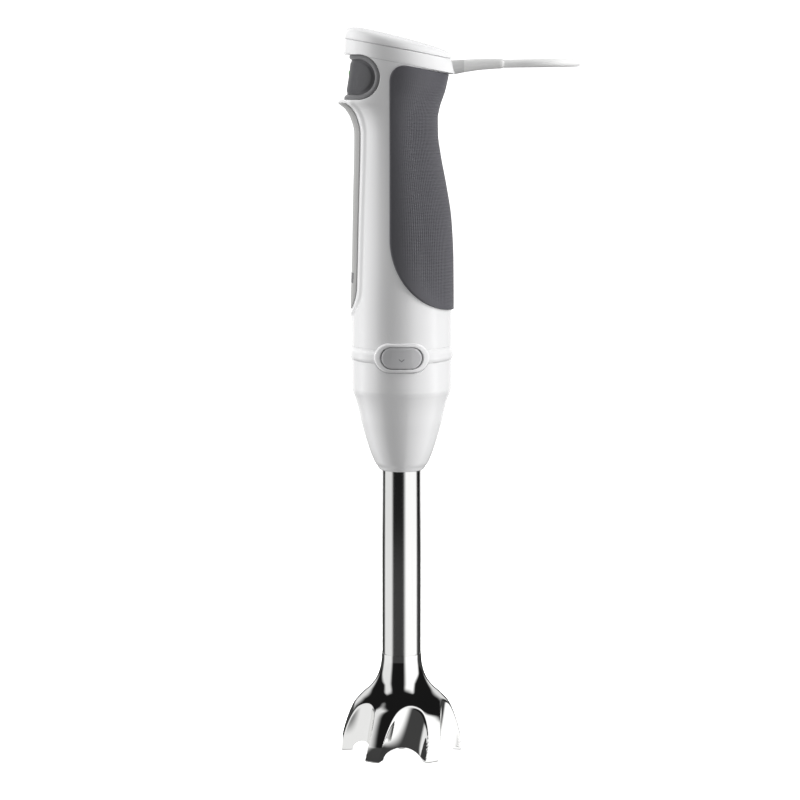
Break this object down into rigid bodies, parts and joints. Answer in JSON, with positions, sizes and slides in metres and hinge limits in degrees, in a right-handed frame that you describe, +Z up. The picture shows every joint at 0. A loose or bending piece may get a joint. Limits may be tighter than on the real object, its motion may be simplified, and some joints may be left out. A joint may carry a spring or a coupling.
{
  "type": "immersion blender",
  "caption": "Hand-held immersion blender with a curved grip handle, press button, click-off stainless blending foot, scalloped bell guard and a folded mains cord.",
  "frame": {"origin": "centre of the bell's lower edge, on the plane that its ribs stand on", "axes": "+Z up along the shaft toward the cap, -X toward the front with the press button, +X toward the back where the cord leaves, release buttons on -Y and +Y"},
  "size_m": [0.1252, 0.1777, 0.3731],
  "materials": {
    "bell_steel": "mirror-polished stainless sheet",
    "tube_steel": "polished stainless tube with a fine drawn grain",
    "blade_steel": "ground stainless with sharpened edges",
    "machined_steel": "turned steel",
    "spring_steel": "bright spring steel",
    "seal_rubber": "black nitrile",
    "bronze": "sintered bronze",
    "white_gloss": "glossy moulded ABS",
    "white_matt": "matt moulded nylon",
    "inner_grey": "moulded structural plastic",
    "coupling_black": "tough black nylon",
    "grip_grey": "soft-touch overmould with a fine dimpled pattern",
    "strip_grey": "satin grey plastic",
    "button_light_grey": "satin light grey plastic",
    "bezel_grey": "satin grey plastic",
    "button_dark": "fine-grained dark grey plastic",
    "green_lens": "clear green lens",
    "black_plastic": "black phenolic",
    "red_plastic": "red acetal",
    "board_green": "solder-masked board",
    "capacitor_yellow": "potted film capacitor",
    "winding_copper": "enamelled copper wire",
    "copper_segments": "turned copper segments",
    "lamination_steel": "stacked electrical steel",
    "cast_alloy": "die-cast alloy",
    "brass_sheet": "folded brass sheet",
    "carbon": "pressed carbon graphite",
    "damper_rubber": "black rubber",
    "cord_white": "soft white cord jacket",
    "tie_black": "plastic-coated wire tie",
    "blade_nickel": "nickel-plated contact"
  },
  "bodies": {
    "foot": {"bell": "bell_steel", "shaft_tube": "tube_steel", "bearing_plug": "machined_steel", "shaft_seal": "seal_rubber", "lower_bush": "bronze", "foot_housing": "white_gloss", "foot_core": "inner_grey", "upper_bush": "bronze", "cup_plate": "inner_grey", "cord_hank": "cord_white", "cord_tie": "tie_black", "cord_tail": "cord_white", "plug_body": "cord_white", "plug_blades": "blade_nickel"},
    "handle": {"handle_shell": "white_gloss", "top_cap": "white_gloss", "grip_panel": "grip_grey", "front_strip": "strip_grey", "release_ring": "white_gloss", "latch_collar": "inner_grey", "latch_spring_left": "spring_steel", "latch_spring_right": "spring_steel", "collar_screws": "spring_steel", "button_bezel": "bezel_grey", "button_spring": "spring_steel", "switch_carrier": "inner_grey", "micro_switch": "black_plastic", "control_board": "board_green", "capacitor": "capacitor_yellow", "choke": "winding_copper", "terminal_block": "white_matt", "field_core": "lamination_steel", "field_coils": "winding_copper", "lower_bracket": "cast_alloy", "upper_bracket": "cast_alloy", "lower_bearing": "machined_steel", "upper_bearing": "machined_steel", "brush_holders": "brass_sheet", "carbon_brushes": "carbon", "brush_springs": "spring_steel", "motor_dampers": "damper_rubber", "cord_sleeve": "cord_white", "cord_lead": "cord_white"},
    "blade_drive": {"drive_shaft": "machined_steel", "driven_coupling": "coupling_black", "blade": "blade_steel", "blade_hub": "machined_steel", "blade_nut": "machined_steel"},
    "rotor": {"motor_shaft": "machined_steel", "armature_core": "lamination_steel", "armature_winding": "winding_copper", "commutator": "copper_segments", "cooling_fan": "inner_grey", "drive_coupling": "coupling_black"},
    "main_button": {"main_button": "button_dark", "button_light": "green_lens"},
    "switch_plunger": {"switch_plunger": "red_plastic"},
    "release_left": {"release_button_left": "button_light_grey"},
    "release_right": {"release_button_right": "button_light_grey"}
  },
  "joints": [
    {"name": "foot_release", "type": "slide", "parent": "foot", "child": "handle", "axis": [0, 0, 1], "range_m": [0, 0.05], "deforming": ["latch_spring_left", "latch_spring_right", "cord_lead"]},
    {"name": "motor_spin", "type": "hinge", "parent": "handle", "child": "rotor", "pos_m": [0, 0, 0.25], "axis": [0, 0, 1], "continuous": true},
    {"name": "blade_spin", "type": "hinge", "parent": "foot", "child": "blade_drive", "pos_m": [0, 0, 0.1], "axis": [0, 0, 1], "continuous": true},
    {"name": "main_button_press", "type": "slide", "parent": "handle", "child": "main_button", "axis": [1, 0, 0], "range_m": [0, 0.0012], "stiffness_N_per_m": 1200, "springref_m": -0.001, "deforming": ["button_spring"]},
    {"name": "switch_press", "type": "slide", "parent": "handle", "child": "switch_plunger", "axis": [1, 0, 0], "range_m": [0, 0.0012], "stiffness_N_per_m": 150, "springref_m": -0.001},
    {"name": "release_left_press", "type": "slide", "parent": "handle", "child": "release_left", "axis": [0, 1, 0], "range_m": [0, 0.002], "stiffness_N_per_m": 1500, "springref_m": -0.001, "deforming": ["latch_spring_left"]},
    {"name": "release_right_press", "type": "slide", "parent": "handle", "child": "release_right", "axis": [0, -1, 0], "range_m": [0, 0.002], "stiffness_N_per_m": 1500, "springref_m": -0.001, "deforming": ["latch_spring_right"]}
  ],
  "couplings": [
    {"joint": "blade_spin", "follows": "motor_spin", "ratio": 1},
    {"joint": "switch_press", "follows": "main_button_press", "ratio": 1}
  ]
}
